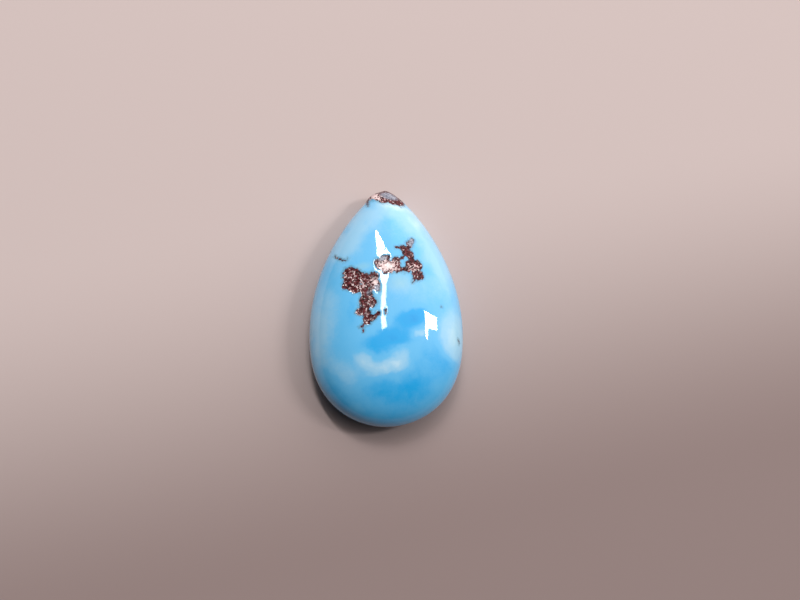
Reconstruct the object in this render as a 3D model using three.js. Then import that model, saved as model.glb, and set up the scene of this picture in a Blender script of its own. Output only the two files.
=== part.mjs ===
// A pear-shaped turquoise cabochon: one polished stone with a domed top and a flat ground back.
// A patch of brown host rock on the dome lies a little lower than the blue round it.
// Millimetres, +Z up, +Y towards the tip, origin under the middle of the flat back.

import * as THREE from 'three';
import { mergeVertices } from 'three/addons/utils/BufferGeometryUtils.js';

// Driving dimensions of the stone
const LENGTH = 20; // round end to tip
const WIDTH = 13; // across the widest line
const HEIGHT = 5; // flat back to the top of the dome
const ROUND_END = 7.75; // widest line to the round end
const TIP_FULLNESS = 0.69; // 1 is a cosine point, 0.5 is a round nose
const ROUND_FULLNESS = 2.45; // 2 is half an ellipse, more is squarer
const LEAN = 0.02; // rise of the hand-cut widest line towards the tip, for each millimetre of X
const TOP_SHIFT = 0.5; // top of the dome, from the widest line towards the tip
const DOME_FLATNESS = 2.45; // 2 is an ellipse, more is flatter on top
const GIRDLE = 1.75; // height of the widest ring
const WALL_LEAN = 0.35; // how far the wall draws in from the girdle to the back
const BACK_BEVEL = 0.2; // bevel between the wall and the flat back

// Host rock: softer than the blue, so polishing leaves it sunk
const ROCK_DEPTH = 0.06;
const ROCK_EDGE = 0.35; // width of the slope down into the rock
const ROCK_LOBES = [
  { x: -3.35, y: 1.85, radius: 1.05 },
  { x: -2.1, y: 1.65, radius: 0.8 },
  { x: -2.15, y: 0.1, radius: 0.85 },
  { x: -2.75, y: -0.8, radius: 0.45 },
  { x: -2.1, y: -1.35, radius: 0.6 },
  { x: -0.75, y: 3.05, radius: 0.85 },
  { x: 0.35, y: 3.0, radius: 0.6 },
  { x: 1.3, y: 4.1, radius: 0.55 },
  { x: 1.8, y: 3.0, radius: 0.7 },
  { x: 2.15, y: 2.2, radius: 0.55 },
];

// Fineness of the faceted surface
const SEGMENTS = 88;
const DOME_RINGS = 34;
const WALL_RINGS = 5;

const TIP_END = LENGTH - ROUND_END;
const MID_SHIFT = (TIP_END - ROUND_END) / 2; // widest line to the middle of the length
const BLUE = 0x4fb2e2;

// Point of the widest ring, from the widest line; turn is 0 at the tip and a half turn at the round end
function outline(turn) {
  const across = Math.sin(turn);
  const x = (WIDTH / 2) * across;
  const towardsTip = Math.cos(turn) > 0;
  const tipShare = (2 / Math.PI) * Math.acos(Math.abs(across) ** (1 / TIP_FULLNESS));
  const roundShare = Math.abs(Math.cos(turn)) ** (2 / ROUND_FULLNESS);
  const y = towardsTip ? TIP_END * tipShare : -ROUND_END * roundShare;
  return new THREE.Vector2(x, y + LEAN * x);
}

// Half section of the stone: share of the outline against height, from the back up to the top
function profile() {
  const points = [];
  for (let ring = 0; ring <= DOME_RINGS; ring += 1) {
    const share = Math.sin((Math.PI / 2) * (ring / DOME_RINGS));
    const rise = Math.sqrt(Math.max(0, 1 - share ** DOME_FLATNESS));
    points.push(new THREE.Vector2(share, GIRDLE + (HEIGHT - GIRDLE) * rise));
  }
  const drawIn = WALL_LEAN / (WIDTH / 2);
  for (let ring = 1; ring <= WALL_RINGS; ring += 1) {
    const drop = ring / WALL_RINGS;
    points.push(new THREE.Vector2(1 - drawIn * drop ** 2, GIRDLE - (GIRDLE - BACK_BEVEL) * drop));
  }
  points.push(new THREE.Vector2(1 - drawIn - BACK_BEVEL / (WIDTH / 2), 0));
  points.push(new THREE.Vector2(0, 0));
  return points.reverse();
}

// A round stone of radius 1, before it takes the pear outline
function roundStone() {
  const lathe = new THREE.LatheGeometry(profile(), SEGMENTS);
  lathe.rotateX(Math.PI / 2);
  lathe.deleteAttribute('normal');
  lathe.deleteAttribute('uv');
  return mergeVertices(lathe);
}

// Draws every ring out to a scaled copy of the pear outline about the top of the dome
function takePearOutline(geometry) {
  const position = geometry.attributes.position;
  for (let i = 0; i < position.count; i += 1) {
    const share = Math.hypot(position.getX(i), position.getY(i));
    const rim = outline(Math.atan2(position.getX(i), position.getY(i)));
    const y = TOP_SHIFT + share * (rim.y - TOP_SHIFT) - MID_SHIFT;
    position.setXY(i, share * rim.x, y);
  }
}

// 1 inside the host rock, 0 in the blue, sloping over the edge's width
function rockShare(x, y) {
  let inside = 0;
  for (const lobe of ROCK_LOBES) {
    inside = Math.max(inside, lobe.radius - Math.hypot(x - lobe.x, y - lobe.y));
  }
  return THREE.MathUtils.smoothstep(inside, 0, ROCK_EDGE);
}

// Lets the host rock of the dome down below the blue
function sinkRock(geometry) {
  geometry.computeVertexNormals();
  const position = geometry.attributes.position;
  const point = new THREE.Vector3();
  const normal = new THREE.Vector3();
  for (let i = 0; i < position.count; i += 1) {
    point.fromBufferAttribute(position, i);
    normal.fromBufferAttribute(geometry.attributes.normal, i);
    const sunk = point.z > GIRDLE ? ROCK_DEPTH * rockShare(point.x, point.y) : 0;
    point.addScaledVector(normal, -sunk);
    position.setXYZ(i, point.x, point.y, point.z);
  }
}

// Puts the origin under the middle of the back, whatever the lean takes off
function centreOnBack(geometry) {
  geometry.computeBoundingBox();
  const middle = geometry.boundingBox.getCenter(new THREE.Vector3());
  geometry.translate(-middle.x, -middle.y, -geometry.boundingBox.min.z);
}

function makeCabochon() {
  const geometry = roundStone();
  takePearOutline(geometry);
  sinkRock(geometry);
  centreOnBack(geometry);
  geometry.computeVertexNormals();
  const material = new THREE.MeshStandardMaterial({ color: BLUE, roughness: 0.1, metalness: 0 });
  const mesh = new THREE.Mesh(geometry, material);
  mesh.name = 'cabochon';
  return mesh;
}

const stone = new THREE.Group();
stone.add(makeCabochon());

export default stone;
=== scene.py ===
"""The looks of a polished pear-shaped turquoise cabochon with brown host rock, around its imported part.

The stone is one fine mesh in place of the faceted solid. Its shape is worked out in millimetres, in the
part's own frame: +Z up, +Y towards the tip, the flat back on the floor.
"""

import math

import bpy
import numpy as np
from mathutils import Matrix, Vector, noise


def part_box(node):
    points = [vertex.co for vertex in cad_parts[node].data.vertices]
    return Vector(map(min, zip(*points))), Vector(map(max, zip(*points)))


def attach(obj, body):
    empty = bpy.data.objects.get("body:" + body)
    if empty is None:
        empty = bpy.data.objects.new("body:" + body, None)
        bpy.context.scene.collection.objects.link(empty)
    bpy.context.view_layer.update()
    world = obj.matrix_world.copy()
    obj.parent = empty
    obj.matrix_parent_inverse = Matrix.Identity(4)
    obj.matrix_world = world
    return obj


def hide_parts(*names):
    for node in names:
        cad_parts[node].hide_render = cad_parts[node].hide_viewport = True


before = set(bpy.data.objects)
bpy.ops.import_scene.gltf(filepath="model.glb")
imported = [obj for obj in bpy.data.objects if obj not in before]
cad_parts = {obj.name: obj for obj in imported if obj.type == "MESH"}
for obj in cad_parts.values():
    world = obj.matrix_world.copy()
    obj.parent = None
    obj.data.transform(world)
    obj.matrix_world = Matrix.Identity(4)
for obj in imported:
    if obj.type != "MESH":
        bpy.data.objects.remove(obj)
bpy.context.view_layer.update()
stone_low, stone_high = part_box("cabochon")

MM = 0.001  # metres in a millimetre

# Shape of the stone, in millimetres
WIDTH, LENGTH, HEIGHT = (side / MM for side in stone_high - stone_low)
ROUND_END = 7.75  # widest line to the round end
TIP_END = LENGTH - ROUND_END
MID_SHIFT = (TIP_END - ROUND_END) / 2  # widest line to the middle of the length
TIP_FULLNESS = 0.69  # 1 is a cosine point, 0.5 is a round nose
ROUND_FULLNESS = 2.45  # 2 is half an ellipse, more is squarer
LEAN = 0.02  # rise of the hand-cut widest line towards the tip, for each millimetre of X
TOP_SHIFT = 0.5  # top of the dome, from the widest line towards the tip
DOME_FLATNESS = 2.45  # 2 is an ellipse, more is flatter on top
GIRDLE = 1.75  # height of the widest ring
WALL_LEAN = 0.35  # how far the wall draws in from the girdle to the back
BACK_BEVEL = 0.2  # rounded edge between the wall and the flat back

# Fineness of the mesh
GRID = 200  # cells along each side of the square grid that is bent to the outline
EVEN_SHARE = 0.75  # rings are evenly spaced out to here, then crowd towards the girdle
WALL_RINGS = 8
BEVEL_RINGS = 4
SECTION_STEPS = 400  # points along the dome's half section when its length is measured
MAP_EDGE = 0.02  # room left round the parts of the flat map, as a share of its width
TINY = 1e-9  # as good as 0
EXPONENT_LIMIT = 40  # keeps exponentials in range

# Brown host rock on the dome: strands from (x, y) to (x, y) with a radius, in millimetres
LEFT_ROCK = [
    (-3.45, 2.35, -3.30, 1.50, 0.60),
    (-2.95, 2.45, -2.70, 2.20, 0.33),
    (-3.75, 1.45, -3.70, 1.35, 0.38),
    (-3.20, 1.00, -2.60, 1.05, 0.33),
    (-2.30, 1.90, -1.75, 1.75, 0.48),
    (-1.45, 1.50, -1.45, 1.40, 0.40),
    (-1.40, 1.15, -1.25, 1.02, 0.22),
    (-1.60, 2.30, -1.30, 2.15, 0.22),
    (-2.20, 1.10, -2.15, 0.20, 0.46),
    (-2.50, 0.00, -1.75, -0.10, 0.38),
    (-2.80, -0.82, -2.65, -0.85, 0.30),
    (-2.40, -0.60, -2.10, -1.40, 0.36),
    (-2.25, -1.50, -2.25, -1.60, 0.30),
    (-1.75, -1.35, -1.30, -1.00, 0.23),
    (-2.35, -1.85, -2.85, -2.05, 0.06),
    (-2.50, -1.95, -2.60, -2.45, 0.06),
]
MIDDLE_ROCK = [
    (-1.00, 3.15, -0.55, 3.05, 0.50),
    (-0.85, 3.65, -0.35, 3.70, 0.18),
    (0.30, 3.40, 0.30, 3.20, 0.36),
    (0.00, 2.85, 0.20, 2.85, 0.33),
    (0.45, 2.65, 0.95, 2.70, 0.20),
    (-0.75, 2.48, -0.20, 2.52, 0.17),
]
RIGHT_ROCK = [
    (0.60, 3.55, 0.85, 3.75, 0.09),
    (0.85, 3.75, 1.10, 4.00, 0.08),
    (0.35, 4.55, 0.80, 4.60, 0.15),
    (0.95, 4.45, 1.30, 4.55, 0.20),
    (1.15, 4.20, 1.55, 4.00, 0.34),
    (1.50, 3.75, 1.75, 3.40, 0.22),
    (1.50, 4.80, 1.75, 5.20, 0.27),
    (1.50, 3.05, 2.15, 3.10, 0.42),
    (1.25, 2.75, 1.30, 2.75, 0.24),
    (1.95, 2.45, 2.25, 2.20, 0.38),
    (1.85, 2.00, 1.85, 2.05, 0.22),
    (1.60, 1.65, 1.85, 1.75, 0.06),
]
STRAY_ROCK = [
    (-0.72, -0.65, -0.72, -0.95, 0.10),
    (-4.50, 4.00, -4.42, 3.85, 0.05),
    (-4.42, 3.85, -4.15, 3.75, 0.05),
    (-4.15, 3.72, -3.85, 3.50, 0.06),
    (-3.85, 3.50, -3.60, 3.65, 0.04),
    (4.12, -0.30, 4.18, -0.30, 0.08),
    (5.70, -2.90, 5.82, -3.20, 0.05),
]
TIP_ROCK = [
    (-0.35, 9.00, 0.25, 8.95, 0.42),
    (0.25, 8.95, 1.10, 8.75, 0.42),
    (-0.75, 9.25, 0.80, 9.55, 0.45),
    (-1.15, 9.30, -1.40, 9.25, 0.25),
    (-1.20, 9.05, -1.50, 8.90, 0.05),
    (-1.55, 8.85, -1.66, 8.40, 0.06),
    (0.00, 9.90, 0.00, 10.50, 0.80),
]
DOME_ROCK = LEFT_ROCK + MIDDLE_ROCK + RIGHT_ROCK + STRAY_ROCK + TIP_ROCK
BACK_ROCK = [
    (1.80, 2.40, 2.60, 0.60, 0.70),
    (2.60, 0.60, 1.90, -1.20, 0.45),
    (1.90, -1.20, 0.20, -2.10, 0.25),
    (0.20, -2.10, -2.60, -2.60, 0.12),
    (-3.20, 4.20, -2.40, 3.10, 0.35),
    (-0.60, 9.20, 0.60, 9.40, 0.60),
    (0.00, 9.90, 0.00, 10.50, 0.80),
]
ROCK_BLEND = 0.06  # how softly neighbouring strands run together
ROCK_DEPTH = 0.035  # polishing leaves the softer rock this far below the blue
ROCK_SLOPE = 0.16  # width of the slope down into the rock
ROCK_LUMP = 0.03  # height of the lumps in the rock
TIP_LINE = 8.0  # beyond this line the rock of the tip is level with the blue
TIP_FADE = 0.5  # and over this length before it, the sinking fades

# A small flat that polishing left across the rock near the middle of the dome
FLAT_X = -0.80
FLAT_Y = 2.95
FLAT_DEPTH = 0.024
FLAT_SOFTNESS = 0.004  # how far below the flat its edge starts to round over

# Soft spots, here and below: (x, y, half length, half width, turn in degrees, amount)
SPOT_FALLOFF = 0.7  # how fast a spot fades outwards
SPOT_FLATNESS = 1.3  # more is flatter in the middle, with a quicker edge

# The crust that stands out beside the tip
CRUST = [
    (-1.05, 9.35, 0.55, 0.30, 40, 0.17),
]

# Grey and cream parts of the rock; the cream list also holds painted highlights
GREY_ROCK = [
    (0.20, 9.28, 0.72, 0.36, -15, 1.00),
    (-0.85, 3.62, 0.45, 0.22, 10, 0.90),
    (1.70, 5.10, 0.36, 0.40, 60, 1.00),
    (-1.30, 1.05, 0.32, 0.40, 0, 0.90),
    (-2.05, 0.70, 0.25, 0.30, 0, 0.60),
    (-1.20, 9.55, 0.50, 0.22, 40, 0.70),
]
CREAM_ROCK_AND_PAINTED_HIGHLIGHTS = [
    (-0.85, 9.10, 0.42, 0.42, 0, 0.82),
    # Pale rock on the small flat, partly painted reflection of the lamp
    (-0.45, 2.95, 0.75, 0.42, 5, 1.00),
    # Painted highlight on the rock
    (-1.45, 1.60, 0.28, 0.30, 0, 0.90),
    (1.75, 2.95, 0.50, 0.30, 0, 0.40),
    (-2.60, 1.35, 0.30, 0.25, 0, 0.45),
    # Extra pale specks in the left lobe, as painted glints
    (-3.45, 1.90, 0.80, 0.90, 0, 0.12),
    (-2.10, -0.30, 0.45, 0.80, 20, 0.10),
]

# Clouds in the blue, with painted shade and painted reflection near the edge among them: plus is paler, minus
# deeper
CLOUDS_AND_PAINTED_LIGHT = [
    (-2.40, -4.92, 0.75, 0.56, -40, 0.58),
    (-1.40, -5.40, 0.60, 0.42, 0, 0.25),
    (-0.25, -5.28, 1.05, 0.58, 8, 0.58),
    (0.45, -4.65, 0.75, 0.65, 40, 0.20),
    (5.30, -2.60, 0.95, 1.60, 4, 0.66),
    (1.95, -2.55, 0.60, 0.26, 8, 0.42),
    (3.90, 4.20, 1.00, 3.20, 24, 0.42),
    (2.20, 7.00, 1.20, 1.20, 30, 0.46),
    (0.20, 7.90, 1.40, 0.70, 0, 0.35),
    (0.45, 8.30, 1.20, 0.34, -10, 0.60),
    (-2.00, 7.10, 1.00, 1.00, 0, 0.42),
    (1.00, 6.00, 1.20, 0.80, 0, 0.08),
    (3.00, 1.10, 1.50, 0.90, 20, 0.14),
    (0.60, 1.50, 1.20, 0.90, 0, 0.20),
    # A pale cloud, made paler still as painted light on the lower left
    (-3.70, -6.00, 1.30, 0.70, -40, 0.26),
    # Painted reflection of the pale floor along the left edge
    (-5.00, -1.00, 0.50, 2.20, 0, 0.20),
    (-3.40, 5.20, 0.90, 1.80, -25, 0.40),
    # Painted reflection of the pale floor along the left edge
    (-5.90, -2.00, 0.60, 3.40, 0, 0.30),
    (-0.60, -3.15, 1.70, 0.75, 6, -0.62),
    (1.40, -1.40, 1.20, 0.60, 20, -0.70),
    (-3.45, -0.70, 0.45, 1.10, 0, -0.20),
    (2.50, -5.70, 1.50, 1.00, 30, -0.24),
    (3.20, -4.00, 0.80, 0.80, 0, -0.18),
    (4.60, -5.30, 0.90, 0.80, 0, -0.26),
    # These three deepen the blue at the round end and lower left as painted shade
    (0.30, -7.40, 3.30, 1.10, 0, -0.36),
    (0.20, -9.50, 3.80, 0.80, 0, -0.22),
    (-4.60, -7.60, 2.00, 0.60, -50, -0.22),
    # Painted reflection of the pale floor along the left edge
    (-5.30, -4.20, 0.50, 1.00, 10, 0.12),
    (-1.90, 6.60, 0.70, 0.90, 0, -0.12),
]
GREENS = [
    (0.60, 1.70, 0.90, 0.60, 0, 0.60),
    (-2.45, 2.95, 0.60, 0.25, 10, 0.60),
    (-1.20, 0.40, 0.35, 0.60, 0, 0.40),
    (5.40, -2.60, 0.60, 1.30, 0, 0.42),
    (2.90, 3.80, 0.40, 0.60, 0, 0.35),
]

# Waves that make edges ragged, rock lumpy and clouds drift: (amount, lumps per millimetre, octaves, seed)
# Amounts are millimetres, and in the wisps a share of the paleness
ROCK_EDGE_X = [(0.12, 2.3, 3, 5.0), (0.07, 6.5, 2, 9.0)]
ROCK_EDGE_Y = [(0.12, 2.3, 3, 15.0), (0.07, 6.5, 2, 19.0)]
ROCK_LUMPS = [(ROCK_LUMP, 4.5, 3, 51.0)]
CLOUD_DRIFT_X = [(0.35, 0.45, 3, 31.0), (0.12, 1.6, 3, 33.0)]
CLOUD_DRIFT_Y = [(0.35, 0.45, 3, 37.0), (0.12, 1.6, 3, 39.0)]
CLOUD_WISPS = [(0.15, 1.7, 4, 43.0)]
WAVE_FADE = 0.9  # how fast the finer octaves fade
WAVE_STEP = 2.0  # each octave is this much finer than the last
SEED_SHIFT = (1.0, 1.7, 2.3)  # way that a seed moves the waves

# Colours, on a screen's scale of 0 to 255
# The blues run from the deepest level, 0, to the palest, 1, and the ashes from dark to pale grains
BLUES = [
    (0.00, (20, 148, 224)),
    (0.28, (36, 170, 236)),
    (0.50, (102, 191, 241)),
    (0.72, (154, 208, 240)),
    (1.00, (198, 229, 245)),
]
ASHES = [
    (0.15, (52, 48, 58)),
    (0.42, (132, 134, 148)),
    (0.85, (184, 184, 198)),
]
GREEN_CAST = (168, 208, 206)
FRINGE_GREY = (92, 128, 142)
DARKEST_BROWN = (14, 1, 4)
PALEST_BROWN = (116, 48, 52)
# Pale specks in the rock: pale grains, and painted glints of the lamps on the grains
DULL_GRAIN_AND_GLINT = (172, 128, 130)
BRIGHT_GRAIN_AND_GLINT = (246, 222, 220)
ROCK_RIM = (34, 18, 24)
CHALK = (214, 228, 232)

# Blue finish
MOTTLE_SHIFT = 0.76  # taken off the sum of the mottling
FINE_MOTTLE = 0.60  # strength beside the broad mottling
SPECKLE = 0.25
GREEN_SHARE = 0.55  # most of the green cast, at an amount of 1

# Rock finish; depths are millimetres inside the rock's edge
ROCK_START = (-0.02, 0.05)  # depth where the rock starts, and is whole
FRINGE_START = (-0.22, 0.0)  # and the same of the grey fringe round it
FRINGE_SHARE = 0.45
RIM_WIDTH = 0.12  # the rock is darker this close to its edge
RIM_SHARE = 0.55
GRAIN_BEND = 0.22  # millimetres that the grains are bent out of shape
STAIN_SHARE = 0.5  # what stains add to the chance of a pale speck, pale grain and painted glint alike
CREAM_AND_HIGHLIGHT_SHARE = 0.95  # and what cream parts and painted highlights add
PALE_LINE = (1.22, 1.28)  # sum of chances where a grain turns pale, from and to
ASH_GRAIN = 0.6  # what the grains give to the level of the ashes
ASH_STAIN = 0.4  # and what the stains give
GREY_START = (0.25, 0.75)  # amount of grey where the ashes start, and are whole
CREAM_AND_HIGHLIGHT_START = (0.1, 0.6)  # amount of cream and painted highlight where the grain starts to flatten, and is flattest
CREAM_AND_HIGHLIGHT_RELIEF = 0.15  # share of the relief left there

# Polish on the dome and the wall
STONE_IOR = 1.62
BARE_SHINE = 0.12  # specular level under the polish
POLISH_IOR = 1.57
POLISH_ROUGHNESS = 0.03
ROCK_POLISH = 0.15  # how much of the polish the rock took
ROCK_ROUGHNESS = 0.14
BLUE_MARKS = (0.35, 0.75)  # strength of the marks where they start to dull the blue, and dull it most
BLUE_ROUGHNESS = (0.025, 0.055)  # roughness at those strengths
GRAIN_RELIEF = 0.30  # millimetres for each unit of the rock's height
MARK_RELIEF = 0.0001  # height of the marks, in the same units

# Ground back
CHALK_MARKS = (0.45, 0.75)  # strength of the marks where chalky scratches start, and are palest
CHALK_SHARE = 0.30
BACK_MARKS = (0.30, 0.75)
BACK_ROUGHNESS = (0.42, 0.66)  # roughness at those strengths of the marks
BACK_ROCK_HEIGHT = -0.3  # the rock beside the marks, in units of their height
BACK_RELIEF = 0.02  # millimetres for each unit of height

# Camera: the photograph's viewing angle and lens
IMAGE_WIDTH = 800
IMAGE_HEIGHT = 600
SENSOR = 36.0  # millimetres
FOCAL_PIXELS = 1213.5
CAMERA_DISTANCE = 101.0  # millimetres
CAMERA_OFF_VERTICAL = 14.04  # degrees
CAMERA_SIDE = 218.4  # degrees from +X, the side that the camera leans to
CAMERA_ROLL = 0.98  # degrees
CAMERA_TARGET = Vector((0.0, 0.0, 2.5))  # millimetres
TARGET_PIXEL = (388.1, 306.0)
CAMERA_NEAR = 0.001  # metres to the nearest thing that it sees

# Lamps: tapering strips at one height, placed where the dome mirrors them
# Each is (start, end, width at the start, width at the end, radiance)
# Places and widths are shares of that height
LAMP_HEIGHT = 0.30  # metres
LAMPS = {
    "near_lamp": ((0.128, 0.110), (0.045, 0.311), 0.050, 0.030, 13.0),
    "middle_lamp": ((0.045, 0.311), (-0.060, 0.535), 0.030, 0.095, 31.0),
    "far_lamp": ((-0.095, 0.545), (-0.405, 0.995), 0.100, 0.018, 68.0),
    "side_lamp": ((0.645, 0.197), (1.080, 0.217), 0.108, 0.108, 36.0),
    "small_lamp": ((0.667, 0.050), (0.667, 0.150), 0.035, 0.070, 36.0),
}
LAMP_PARTS = 4  # plain strips that a tapering lamp is made of
ROOM_SIDE = (0.49, 0.76, 0.42)  # way to the bright side of the room
ROOM_REACH = (0.05, 0.95)  # how squarely a way faces that side where its light starts, and is whole
ROOM_DARK = 0.01  # radiance of the far side
ROOM_BRIGHT = 1.22  # and of the bright side
ROOM_COLOUR = (1.0, 0.98, 0.97, 1.0)

# Floor: pale, with painted shade that darkens it towards the round end
FLOOR_PALE = (0.57, 0.465, 0.445, 1.0)
FLOOR_PAINTED_SHADE = (0.275, 0.203, 0.192, 1.0)
FLOOR_WAY = (-0.20, 1.0, 0.0)  # the floor grows paler this way
FLOOR_FADE = (-0.020, 0.010)  # where that starts and ends, in metres
FLOOR_SIZE = 3.0  # metres
FLOOR_ROUGHNESS = 0.9
FLOOR_SHINE = 0.2  # specular level


# Shape of the stone

def outline(turn):
    """Points of the widest ring, from the widest line; turn is 0 at the tip, a half turn at the round end."""
    across = np.sin(turn)
    x = WIDTH / 2 * across
    tip_share = 2 / np.pi * np.arccos(np.clip(np.abs(across), 0, 1) ** (1 / TIP_FULLNESS))
    round_share = np.abs(np.cos(turn)) ** (2 / ROUND_FULLNESS)
    y = np.where(np.cos(turn) > 0, TIP_END * tip_share, -ROUND_END * round_share)
    return x, y + LEAN * x


def ring_points(share, turn, height):
    """Points on scaled copies of the outline about the top of the dome, as an n by 3 array."""
    rim_x, rim_y = outline(turn)
    x = share * rim_x
    y = TOP_SHIFT + share * (rim_y - TOP_SHIFT) - MID_SHIFT
    return np.stack([x, y, np.broadcast_to(height, x.shape)], axis=-1)


def dome_height(share):
    return GIRDLE + (HEIGHT - GIRDLE) * np.sqrt(np.clip(1 - share**DOME_FLATNESS, 0, None))


def square_to_disc():
    """Share and turn of each vertex of a square grid whose square rings become round ones."""
    steps = np.linspace(-1, 1, GRID + 1)
    a, b = np.meshgrid(steps, steps, indexing="ij")
    ring = np.maximum(np.abs(a), np.abs(b))
    safe = np.where(ring == 0, 1, ring)
    along_a = np.abs(a) >= np.abs(b)
    near_a = np.pi / 4 * b / safe * np.sign(a)
    near_b = np.pi / 2 - np.pi / 4 * a / safe * np.sign(b)
    turn = np.where(along_a, near_a, near_b) + np.where(along_a, a < 0, b < 0) * np.pi
    inner = 2 / (1 + EVEN_SHARE) * ring
    outer = 1 - (1 - ring) ** 2 / (1 - EVEN_SHARE**2)
    share = np.where(ring <= EVEN_SHARE, inner, outer)
    return share.ravel(), turn.ravel()


def grid_index():
    """Vertex numbers of the square grid."""
    return np.arange((GRID + 1) ** 2).reshape(GRID + 1, GRID + 1)


def grid_quads():
    index = grid_index()
    quads = np.stack([index[:-1, :-1], index[:-1, 1:], index[1:, 1:], index[1:, :-1]], axis=-1)
    return quads.reshape(-1, 4)


def grid_rim():
    """Vertex numbers round the edge of the square grid, in order."""
    index = grid_index()
    sides = [index[0, :-1], index[:-1, -1], index[-1, :0:-1], index[:0:-1, 0]]
    return np.concatenate(sides)


def wall_profile():
    """Share and height of each ring from below the girdle to above the back's edge, and the back's share."""
    draw_in = WALL_LEAN / (WIDTH / 2)
    bevel_in = BACK_BEVEL / (WIDTH / 2)
    drops = np.arange(1, WALL_RINGS + 1) / WALL_RINGS
    shares = list(1 - draw_in * drops**2)
    heights = list(GIRDLE - (GIRDLE - BACK_BEVEL) * drops)
    for step in range(1, BEVEL_RINGS):
        angle = math.pi / 2 * step / BEVEL_RINGS
        shares.append(1 - draw_in - bevel_in * (1 - math.cos(angle)))
        heights.append(BACK_BEVEL * (1 - math.sin(angle)))
    return shares, heights, 1 - draw_in - bevel_in


def skin_lengths(wall_shares, wall_heights, back_share):
    """Shares and lengths along the dome's half section from the top, then lengths at the rings below."""
    shares = np.linspace(0, 1, SECTION_STEPS)
    across = np.concatenate([shares, wall_shares, [back_share]]) * WIDTH / 2
    heights = np.concatenate([dome_height(shares), wall_heights, [0.0]])
    lengths = np.cumsum(np.hypot(np.diff(across, prepend=0), np.diff(heights, prepend=HEIGHT)))
    return shares, lengths[:len(shares)], lengths[len(shares):]


def unrolled(length, turn, full_length):
    """Flat places of points on the polished skin: the pear outline, shrunk by the length from the top."""
    rim_x, rim_y = outline(turn)
    return np.stack([rim_x, rim_y - TOP_SHIFT], axis=-1) * (length / full_length)[:, None]


def stone_surface():
    """Points, faces, each face's finish (0 polished, 1 ground back) and flat places of the plain stone."""
    share, turn = square_to_disc()
    rim = grid_rim()
    quads = grid_quads()
    wall_shares, wall_heights, back_share = wall_profile()
    dome_shares, dome_lengths, wall_lengths = skin_lengths(wall_shares, wall_heights, back_share)
    full_length = wall_lengths[-1]
    points = [ring_points(share, turn, dome_height(share))]
    faces = [quads]
    flat = [unrolled(np.interp(share, dome_shares, dome_lengths), turn, full_length)]
    loop = rim
    count = len(share)
    for ring_share, height, length in zip(wall_shares, wall_heights, wall_lengths):
        ring = np.arange(count, count + len(rim))
        points.append(ring_points(np.full(len(rim), ring_share), turn[rim], height))
        faces.append(np.stack([loop, ring, np.roll(ring, -1), np.roll(loop, -1)], axis=-1))
        flat.append(unrolled(np.full(len(rim), length), turn[rim], full_length))
        loop = ring
        count += len(rim)
    points.append(ring_points(share * back_share, turn, 0.0))
    back_rim = rim + count
    faces.append(np.stack([loop, back_rim, np.roll(back_rim, -1), np.roll(loop, -1)], axis=-1))
    faces.append(quads[:, ::-1] + count)
    flat.append(unrolled(np.full(len(share), full_length), turn, full_length))
    faces = np.concatenate(faces)
    finish = (np.arange(len(faces)) >= len(faces) - len(quads)).astype(int)
    return np.concatenate(points), faces, finish, np.concatenate(flat)


# Where the rock and the clouds lie

def noise_at(points, per_mm, octaves, seed):
    """Soft noise from about -1 to 1 at each point, with its main lumps 1 / per_mm apart."""
    shift = Vector([seed * way for way in SEED_SHIFT])
    values = [noise.fractal(Vector(p) * per_mm + shift, WAVE_FADE, WAVE_STEP, octaves) for p in points]
    return np.array(values)


def wander(points, waves):
    """Sum of a few waves of soft noise at each point."""
    total = np.zeros(len(points))
    for amount, per_mm, octaves, seed in waves:
        total += amount * noise_at(points, per_mm, octaves, seed)
    return total


def smooth_step(value, low, high):
    t = np.clip((value - low) / (high - low), 0, 1)
    return t * t * (3 - 2 * t)


def up_the_wall(points):
    """0 at the bevel of the back, rising to 1 at the girdle and above."""
    return smooth_step(points[:, 2], BACK_BEVEL, GIRDLE)


def depth_in_strands(x, y, strands):
    """How far inside the strands each point lies, in millimetres; below 0 is outside."""
    total = np.zeros_like(x)
    for x0, y0, x1, y1, radius in strands:
        dx, dy = x1 - x0, y1 - y0
        along = ((x - x0) * dx + (y - y0) * dy) / max(dx * dx + dy * dy, TINY)
        along = np.clip(along, 0, 1)
        distance = np.hypot(x - x0 - along * dx, y - y0 - along * dy)
        total += np.exp(np.clip((radius - distance) / ROCK_BLEND, -EXPONENT_LIMIT, EXPONENT_LIMIT))
    return ROCK_BLEND * np.log(np.maximum(total, TINY))


def soft_spots(points, spots):
    """Sum of soft-edged oval spots."""
    x, y = points[:, 0], points[:, 1]
    total = np.zeros_like(x)
    for spot_x, spot_y, half_length, half_width, degrees, amount in spots:
        c, s = math.cos(math.radians(degrees)), math.sin(math.radians(degrees))
        along = ((x - spot_x) * c + (y - spot_y) * s) / half_length
        across = ((y - spot_y) * c - (x - spot_x) * s) / half_width
        total += amount * np.exp(-SPOT_FALLOFF * (along**2 + across**2) ** SPOT_FLATNESS)
    return total


def rock_depth(points, on_back):
    """Depth inside the brown rock at each point, with a ragged edge."""
    x = points[:, 0] + wander(points, ROCK_EDGE_X)
    y = points[:, 1] + wander(points, ROCK_EDGE_Y)
    return np.where(on_back, depth_in_strands(x, y, BACK_ROCK), depth_in_strands(x, y, DOME_ROCK))


def cloud_and_painted_light_amount(points):
    """Paleness of the blue, about -1 deep to 1 white, in drifting bands; painted shade and painted reflection
    near the edge are part of it.
    """
    x = points[:, 0] + wander(points, CLOUD_DRIFT_X)
    y = points[:, 1] + wander(points, CLOUD_DRIFT_Y)
    wisps = 1 + wander(points, CLOUD_WISPS)
    return soft_spots(np.stack([x, y], axis=-1), CLOUDS_AND_PAINTED_LIGHT) * wisps


# The stone's mesh

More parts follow.
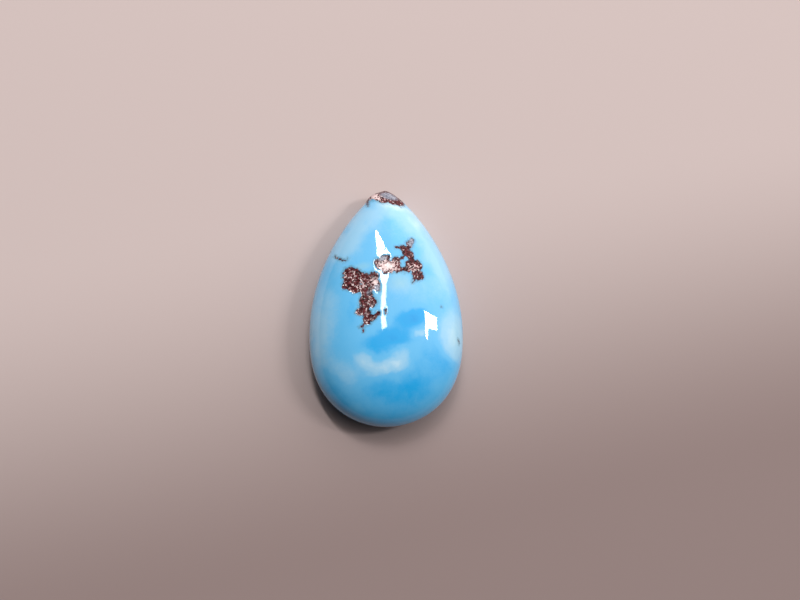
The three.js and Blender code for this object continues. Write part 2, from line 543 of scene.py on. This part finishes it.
def mesh_from(points, faces):
    mesh = bpy.data.meshes.new("cabochon_mesh")
    mesh.from_pydata((points * MM).tolist(), [], faces.tolist())
    mesh.polygons.foreach_set("use_smooth", np.ones(len(faces), bool))
    mesh.update()
    return mesh


def vertex_normals(mesh):
    normals = np.zeros(len(mesh.vertices) * 3, np.float32)
    mesh.vertex_normals.foreach_get("vector", normals)
    return normals.reshape(-1, 3)


def flat_cut(points, normals):
    """How far each point of the dome stands above the small flat."""
    away = np.hypot(points[:, 0] - FLAT_X, points[:, 1] - FLAT_Y)
    on_dome = points[:, 2] > GIRDLE
    middle = np.argmin(away + np.where(on_dome, 0, LENGTH))
    above = (points - points[middle]) @ normals[middle] + FLAT_DEPTH
    return FLAT_SOFTNESS * np.logaddexp(0, above / FLAT_SOFTNESS)


def relief(points, normals, depth, on_back):
    """Height to add along the normal: sunk, lumpy rock, the flat across it and the crust that stands out."""
    in_rock = smooth_step(depth, 0, ROCK_SLOPE)
    sunk = ROCK_DEPTH * in_rock
    lumps = wander(points, ROCK_LUMPS) * in_rock
    height = np.minimum(lumps - sunk, 0) * smooth_step(points[:, 1], TIP_LINE, TIP_LINE - TIP_FADE)
    height += soft_spots(points, CRUST) - flat_cut(points, normals)
    return np.where(on_back, 0, height * up_the_wall(points))


def add_values(mesh, name, values):
    attribute = mesh.attributes.new(name, "FLOAT", "POINT")
    attribute.data.foreach_set("value", values.astype(np.float32))


def add_flat_map(mesh, points, faces, finish, flat):
    """Lays the polished skin and, at half size beside it, the back out flat."""
    room = 1 - 2 * MAP_EDGE
    skin = (flat - flat.min(axis=0)) / LENGTH * room + MAP_EDGE
    back_left = skin[:, 0].max() + MAP_EDGE
    back = (points[:, :2] - points[:, :2].min(axis=0)) / LENGTH * room / 2 + (back_left, MAP_EDGE)
    corners = np.where(finish[:, None, None] == 1, back[faces], skin[faces])
    layer = mesh.uv_layers.new(name="OFBake")
    layer.data.foreach_set("uv", corners.astype(np.float32).ravel())


def make_stone():
    points, faces, finish, flat = stone_surface()
    mesh = mesh_from(points, faces)
    add_flat_map(mesh, points, faces, finish, flat)
    on_back = points[:, 2] < TINY
    depth = rock_depth(points, on_back)
    normals = vertex_normals(mesh)
    moved = points + normals * relief(points, normals, depth, on_back)[:, None]
    mesh.vertices.foreach_set("co", (moved * MM).astype(np.float32).ravel())
    mesh.polygons.foreach_set("material_index", finish)
    add_values(mesh, "rock", depth)
    add_values(mesh, "cloud_and_painted_light", cloud_and_painted_light_amount(points))
    add_values(mesh, "green", soft_spots(points, GREENS))
    add_values(mesh, "grey", soft_spots(points, GREY_ROCK))
    add_values(mesh, "cream_and_highlight", soft_spots(points, CREAM_ROCK_AND_PAINTED_HIGHLIGHTS) * up_the_wall(points))
    mesh.update()
    stone = bpy.data.objects.new("turquoise_cabochon", mesh)
    bpy.context.scene.collection.objects.link(stone)
    return stone


# Shader building

def colour(screen):
    """A screen colour, 0 to 255, as the linear colour that shaders use, by the usual curve of screens."""
    def linear(value):
        share = value / 255
        return share / 12.92 if share <= 0.04045 else ((share + 0.055) / 1.055) ** 2.4
    return (*(linear(value) for value in screen), 1.0)


def put(tree, kind, inputs=None, **settings):
    """Adds a node. Each input is a socket to link from, or a plain value."""
    made = tree.nodes.new(kind)
    for name, value in settings.items():
        setattr(made, name, value)
    for key, value in (inputs or {}).items():
        if isinstance(value, bpy.types.NodeSocket):
            tree.links.new(value, made.inputs[key])
        else:
            made.inputs[key].default_value = value
    return made


def calculate(tree, operation, *values):
    node = put(tree, "ShaderNodeMath", dict(enumerate(values)), operation=operation)
    return node.outputs[0]


def calculate_vector(tree, operation, *values, result="Vector"):
    node = put(tree, "ShaderNodeVectorMath", dict(enumerate(values)), operation=operation)
    return node.outputs[result]


def blend_value(tree, share, first, second):
    return put(tree, "ShaderNodeMix", {"Factor": share, 2: first, 3: second}).outputs[0]


def blend_colour(tree, share, first, second, way="MIX"):
    node = put(tree, "ShaderNodeMix", {"Factor": share}, data_type="RGBA", blend_type=way)
    for socket, value in ((node.inputs[6], first), (node.inputs[7], second)):
        if isinstance(value, bpy.types.NodeSocket):
            tree.links.new(value, socket)
        else:
            socket.default_value = value
    return node.outputs[2]


def ramp(tree, value, stops, way="EASE"):
    """A colour ramp; stops are (place, screen colour)."""
    node = put(tree, "ShaderNodeValToRGB", {"Fac": value})
    node.color_ramp.interpolation = way
    elements = node.color_ramp.elements
    while len(elements) < len(stops):
        elements.new(1.0)
    for element, (place, screen) in zip(elements, stops):
        element.position = place
        element.color = colour(screen)
    return node.outputs["Color"]


def stretch(tree, value, low, high, new_low=0.0, new_high=1.0):
    node = put(
        tree, "ShaderNodeMapRange",
        {"Value": value, "From Min": low, "From Max": high, "To Min": new_low, "To Max": new_high},
        interpolation_type="SMOOTHSTEP",
    )
    return node.outputs["Result"]


def value_of(tree, name):
    return put(tree, "ShaderNodeAttribute", attribute_name=name).outputs["Fac"]


def millimetres(tree):
    """The point on the stone, in millimetres."""
    place = put(tree, "ShaderNodeTexCoord").outputs["Object"]
    return put(tree, "ShaderNodeVectorMath", {0: place, "Scale": 1 / MM}, operation="SCALE").outputs["Vector"]


def soft_noise(tree, place, per_mm, detail=3.0, roughness=0.5, distortion=0.0):
    node = put(
        tree, "ShaderNodeTexNoise",
        {"Vector": place, "Scale": per_mm, "Detail": detail,
         "Roughness": roughness, "Distortion": distortion},
    )
    return node.outputs["Fac"]


def start_group(name, inputs, outputs):
    """An empty node group. inputs are (name, default number), outputs (name, socket kind)."""
    group = bpy.data.node_groups.new(name, "ShaderNodeTree")
    for socket_name, default in inputs:
        socket = group.interface.new_socket(socket_name, in_out="INPUT", socket_type="NodeSocketFloat")
        socket.default_value = default
    for socket_name, kind in outputs:
        group.interface.new_socket(socket_name, in_out="OUTPUT", socket_type=kind)
    return group, put(group, "NodeGroupInput").outputs, put(group, "NodeGroupOutput").inputs


# Shared finishes

def cloudy_blue_with_painted_light_group():
    """Blue turquoise, from deep to nearly white, with fine mottling and a green cast here and there, and the
    painted shade and painted reflection that the cloud values carry.
    """
    group, given, result = start_group(
        "cloudy blue with painted light", [("Mottling", 0.2), ("Paleness", 0.0)], [("Color", "NodeSocketColor")]
    )
    place = millimetres(group)
    broad = soft_noise(group, place, per_mm=0.75, detail=4.0, roughness=0.55, distortion=0.8)
    fine = soft_noise(group, place, per_mm=6.0, detail=4.0, roughness=0.6)
    speckle = soft_noise(group, place, per_mm=30.0, detail=2.0, roughness=0.6)
    waver = calculate(group, "SUBTRACT", broad, MOTTLE_SHIFT)
    waver = calculate(group, "MULTIPLY_ADD", fine, FINE_MOTTLE, waver)
    waver = calculate(group, "MULTIPLY_ADD", speckle, SPECKLE, waver)
    level = calculate(group, "MULTIPLY_ADD", waver, given["Mottling"], given["Paleness"])
    # The cloud values include painted shade and painted reflection near the stone's edge
    level = calculate(group, "ADD", level, value_of(group, "cloud_and_painted_light"))
    # From -1 to 1, to the ramp's 0 to 1
    level = calculate(group, "MULTIPLY_ADD", level, 0.5, 0.5)
    blue = ramp(group, level, BLUES)
    green_share = calculate(group, "MULTIPLY", value_of(group, "green"), GREEN_SHARE)
    tinted = blend_colour(group, green_share, blue, colour(GREEN_CAST))
    group.links.new(tinted, result["Color"])
    return group


def brown_rock_group():
    """Grainy red-brown host rock: its share, colour (with painted glints and highlights among its pale
    specks), grain height and the grey fringe round it.
    """
    group, given, result = start_group(
        "brown rock",
        [("Grains per mm", 9.0), ("Facets per mm", 5.0), ("Raggedness", 0.30), ("Pale grains and glints", 0.05)],
        [("Color", "NodeSocketColor"), ("Share", "NodeSocketFloat"),
         ("Fringe", "NodeSocketFloat"), ("Height", "NodeSocketFloat")],
    )
    place = millimetres(group)
    ragged = soft_noise(group, place, per_mm=7.0, detail=4.0, roughness=0.65)
    ragged = calculate(group, "MULTIPLY", calculate(group, "SUBTRACT", ragged, 0.5), given["Raggedness"])
    depth = calculate(group, "ADD", value_of(group, "rock"), ragged)
    share = stretch(group, depth, *ROCK_START)
    fringe = stretch(group, depth, *FRINGE_START)
    warp = put(group, "ShaderNodeTexNoise", {"Vector": place, "Scale": 5.0, "Detail": 2.0}).outputs["Color"]
    bent = calculate_vector(group, "MULTIPLY_ADD", warp, (GRAIN_BEND, GRAIN_BEND, GRAIN_BEND), place)
    grains = put(group, "ShaderNodeTexVoronoi", {"Vector": bent, "Scale": given["Grains per mm"]})
    chance = put(group, "ShaderNodeSeparateColor", {"Color": grains.outputs["Color"]}).outputs
    stain = soft_noise(group, place, per_mm=2.6, detail=3.0, roughness=0.6)
    brown = blend_colour(group, chance["Green"], colour(DARKEST_BROWN), colour(PALEST_BROWN))
    # Cream parts carry painted highlights as well as pale rock
    cream_and_highlight = value_of(group, "cream_and_highlight")
    brightness = calculate(group, "MAXIMUM", chance["Blue"], cream_and_highlight)
    # Pale specks: pale grains, and painted glints of the lamps on the grains
    pale = blend_colour(group, brightness, colour(DULL_GRAIN_AND_GLINT), colour(BRIGHT_GRAIN_AND_GLINT))
    pale_share = calculate(group, "MULTIPLY_ADD", stain, STAIN_SHARE, given["Pale grains and glints"])
    pale_share = calculate(group, "MULTIPLY_ADD", cream_and_highlight, CREAM_AND_HIGHLIGHT_SHARE, pale_share)
    is_pale = stretch(group, calculate(group, "ADD", chance["Red"], pale_share), *PALE_LINE)
    brown = blend_colour(group, is_pale, brown, pale)
    ash_level = calculate(group, "MULTIPLY", stain, ASH_STAIN)
    ash_level = calculate(group, "MULTIPLY_ADD", chance["Red"], ASH_GRAIN, ash_level)
    ash = ramp(group, ash_level, ASHES, "LINEAR")
    brown = blend_colour(group, stretch(group, value_of(group, "grey"), *GREY_START), brown, ash)
    rim = stretch(group, depth, 0.0, RIM_WIDTH, RIM_SHARE, 0.0)
    brown = blend_colour(group, rim, brown, colour(ROCK_RIM))
    facets = put(group, "ShaderNodeTexVoronoi", {"Vector": bent, "Scale": given["Facets per mm"]})
    # Each facet leans its own way, by its chance colour about middle grey
    lean = calculate_vector(group, "SUBTRACT", facets.outputs["Color"], (0.5, 0.5, 0.5))
    from_middle = calculate_vector(group, "SUBTRACT", bent, facets.outputs["Position"])
    height = calculate_vector(group, "DOT_PRODUCT", lean, from_middle, result="Value")
    height = calculate(group, "MULTIPLY", height, stretch(group, cream_and_highlight, *CREAM_AND_HIGHLIGHT_START, 1.0, CREAM_AND_HIGHLIGHT_RELIEF))
    group.links.new(brown, result["Color"])
    group.links.new(share, result["Share"])
    group.links.new(fringe, result["Fringe"])
    group.links.new(height, result["Height"])
    return group


def fine_marks_group():
    """Long fine scratches, as left by grinding and polishing."""
    group, given, result = start_group(
        "fine marks",
        [("Marks per mm", 20.0), ("Length", 12.0), ("Turn", 0.4)],
        [("Marks", "NodeSocketFloat")],
    )
    place = millimetres(group)
    turned = put(
        group, "ShaderNodeVectorRotate", {"Vector": place, "Angle": given["Turn"]}, rotation_type="Z_AXIS"
    ).outputs["Vector"]
    parts = put(group, "ShaderNodeSeparateXYZ", {"Vector": turned}).outputs
    short_x = calculate(group, "DIVIDE", parts["X"], given["Length"])
    drawn = put(group, "ShaderNodeCombineXYZ", {"X": short_x, "Y": parts["Y"], "Z": parts["Z"]})
    marks = soft_noise(group, drawn.outputs["Vector"], given["Marks per mm"], detail=3.0)
    group.links.new(marks, result["Marks"])
    return group


def place_group(tree, group, **values):
    node = put(tree, "ShaderNodeGroup", node_tree=group)
    for key, value in values.items():
        node.inputs[key.replace("_", " ")].default_value = value
    return node.outputs


def start_material(name):
    """A material whose only node is its Principled shader, linked to the output."""
    material = bpy.data.materials.new(name)
    material.use_nodes = True
    tree = material.node_tree
    tree.nodes.clear()
    shader = put(tree, "ShaderNodeBsdfPrincipled")
    put(tree, "ShaderNodeOutputMaterial", {"Surface": shader.outputs["BSDF"]})
    return material, tree, shader


def finish_shader(tree, shader, base, roughness, height, relief_mm):
    bump = put(tree, "ShaderNodeBump", {"Height": height, "Strength": 1.0, "Distance": relief_mm * MM})
    tree.links.new(base, shader.inputs["Base Color"])
    tree.links.new(roughness, shader.inputs["Roughness"])
    tree.links.new(bump.outputs["Normal"], shader.inputs["Normal"])


def polished_turquoise(blue_group, rock_group, marks_group):
    material, tree, shader = start_material("polished_turquoise")
    shader.inputs["IOR"].default_value = STONE_IOR
    shader.inputs["Specular IOR Level"].default_value = BARE_SHINE
    shader.inputs["Coat IOR"].default_value = POLISH_IOR
    shader.inputs["Coat Roughness"].default_value = POLISH_ROUGHNESS
    blue = place_group(tree, blue_group, Mottling=0.22)["Color"]
    rock = place_group(tree, rock_group)
    marks = place_group(tree, marks_group, Marks_per_mm=14.0, Length=18.0, Turn=0.6)["Marks"]
    fringe_share = calculate(tree, "MULTIPLY", rock["Fringe"], FRINGE_SHARE)
    fringed = blend_colour(tree, fringe_share, blue, colour(FRINGE_GREY))
    base = blend_colour(tree, rock["Share"], fringed, rock["Color"])
    blue_roughness = stretch(tree, marks, *BLUE_MARKS, *BLUE_ROUGHNESS)
    roughness = blend_value(tree, rock["Share"], blue_roughness, ROCK_ROUGHNESS)
    polish = blend_value(tree, rock["Share"], 1.0, ROCK_POLISH)
    tree.links.new(polish, shader.inputs["Coat Weight"])
    grain = calculate(tree, "MULTIPLY", rock["Height"], rock["Share"])
    height = calculate(tree, "MULTIPLY_ADD", marks, MARK_RELIEF, grain)
    finish_shader(tree, shader, base, roughness, height, GRAIN_RELIEF)
    return material


def ground_back(blue_group, rock_group, marks_group):
    material, tree, shader = start_material("ground_back")
    shader.inputs["IOR"].default_value = STONE_IOR
    blue = place_group(tree, blue_group, Mottling=0.5, Paleness=0.15)["Color"]
    rock = place_group(tree, rock_group)
    marks = place_group(tree, marks_group, Marks_per_mm=9.0, Length=25.0, Turn=0.25)["Marks"]
    base = blend_colour(tree, rock["Share"], blue, rock["Color"])
    chalk = stretch(tree, marks, *CHALK_MARKS, 0.0, CHALK_SHARE)
    base = blend_colour(tree, chalk, base, colour(CHALK))
    roughness = stretch(tree, marks, *BACK_MARKS, *BACK_ROUGHNESS)
    height = calculate(tree, "MULTIPLY_ADD", rock["Share"], BACK_ROCK_HEIGHT, marks)
    finish_shader(tree, shader, base, roughness, height, BACK_RELIEF)
    return material


def pale_floor_with_painted_shade():
    bpy.ops.mesh.primitive_plane_add(size=FLOOR_SIZE, location=(0, 0, 0))
    floor = bpy.context.object
    floor.name = "floor"
    material, tree, shader = start_material("pale_floor_with_painted_shade")
    place = put(tree, "ShaderNodeTexCoord").outputs["Object"]
    along = calculate_vector(tree, "DOT_PRODUCT", place, FLOOR_WAY, result="Value")
    # Painted shade: the floor darkens towards the round end
    base = blend_colour(tree, stretch(tree, along, *FLOOR_FADE), FLOOR_PAINTED_SHADE, FLOOR_PALE)
    tree.links.new(base, shader.inputs["Base Color"])
    shader.inputs["Roughness"].default_value = FLOOR_ROUGHNESS
    shader.inputs["Specular IOR Level"].default_value = FLOOR_SHINE
    floor.data.materials.append(material)


# Camera and light

def make_camera():
    tilt, side, roll = (math.radians(a) for a in (CAMERA_OFF_VERTICAL, CAMERA_SIDE, CAMERA_ROLL))
    back = Vector((math.sin(tilt) * math.cos(side), math.sin(tilt) * math.sin(side), math.cos(tilt)))
    up = Vector((0, 1, 0))
    up = (up - back * up.dot(back)).normalized()
    up.rotate(Matrix.Rotation(-roll, 3, back))
    right = up.cross(back)
    place = CAMERA_TARGET + back * CAMERA_DISTANCE
    # The target lies off the picture's middle, so the camera looks past it by that many pixels
    aside = (IMAGE_WIDTH / 2 - TARGET_PIXEL[0]) / FOCAL_PIXELS
    above = (TARGET_PIXEL[1] - IMAGE_HEIGHT / 2) / FOCAL_PIXELS
    back = (back - right * aside - up * above).normalized()
    right = up.cross(back).normalized()
    up = back.cross(right)
    data = bpy.data.cameras.new("camera")
    data.sensor_width = SENSOR
    data.lens = FOCAL_PIXELS / IMAGE_WIDTH * SENSOR
    data.clip_start = CAMERA_NEAR
    camera = bpy.data.objects.new("camera", data)
    axes = Matrix((right, up, back)).transposed()
    camera.matrix_world = Matrix.Translation(place * MM) @ axes.to_4x4()
    bpy.context.scene.collection.objects.link(camera)
    bpy.context.scene.camera = camera


def strip_lamp(name, first, last, width, radiance):
    """A soft strip between two places, turned to face the stone."""
    middle = (first + last) / 2
    along = (last - first).normalized()
    facing = (middle - along * middle.dot(along)).normalized()
    data = bpy.data.lights.new(name, "AREA")
    data.shape = "RECTANGLE"
    data.size = (last - first).length
    data.size_y = width
    data.energy = radiance * math.pi * data.size * data.size_y
    lamp = bpy.data.objects.new(name, data)
    axes = Matrix((along, facing.cross(along), facing)).transposed()
    lamp.matrix_world = Matrix.Translation(middle) @ axes.to_4x4()
    bpy.context.scene.collection.objects.link(lamp)


def tapering_lamp(name, start, end, start_width, end_width, radiance):
    first = Vector((*start, 1)) * LAMP_HEIGHT
    last = Vector((*end, 1)) * LAMP_HEIGHT
    for part in range(LAMP_PARTS):
        share = (part + 0.5) / LAMP_PARTS
        width = (start_width + (end_width - start_width) * share) * LAMP_HEIGHT
        part_first = first.lerp(last, part / LAMP_PARTS)
        part_last = first.lerp(last, (part + 1) / LAMP_PARTS)
        strip_lamp(f"{name}_{part + 1}", part_first, part_last, width, radiance)


def make_light():
    for name, lamp in LAMPS.items():
        tapering_lamp(name, *lamp)
    world = bpy.data.worlds.new("soft_room")
    world.use_nodes = True
    tree = world.node_tree
    background = tree.nodes["Background"]
    background.inputs["Color"].default_value = ROOM_COLOUR
    way = put(tree, "ShaderNodeTexCoord").outputs["Generated"]
    lit = calculate_vector(tree, "DOT_PRODUCT", way, ROOM_SIDE, result="Value")
    tree.links.new(stretch(tree, lit, *ROOM_REACH, ROOM_DARK, ROOM_BRIGHT), background.inputs["Strength"])
    bpy.context.scene.world = world
    bpy.context.scene.view_settings.view_transform = "Standard"


make_camera()
make_light()
pale_floor_with_painted_shade()

stone = make_stone()
groups = (cloudy_blue_with_painted_light_group(), brown_rock_group(), fine_marks_group())
stone.data.materials.append(polished_turquoise(*groups))
stone.data.materials.append(ground_back(*groups))
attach(stone, "root")
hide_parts("cabochon")
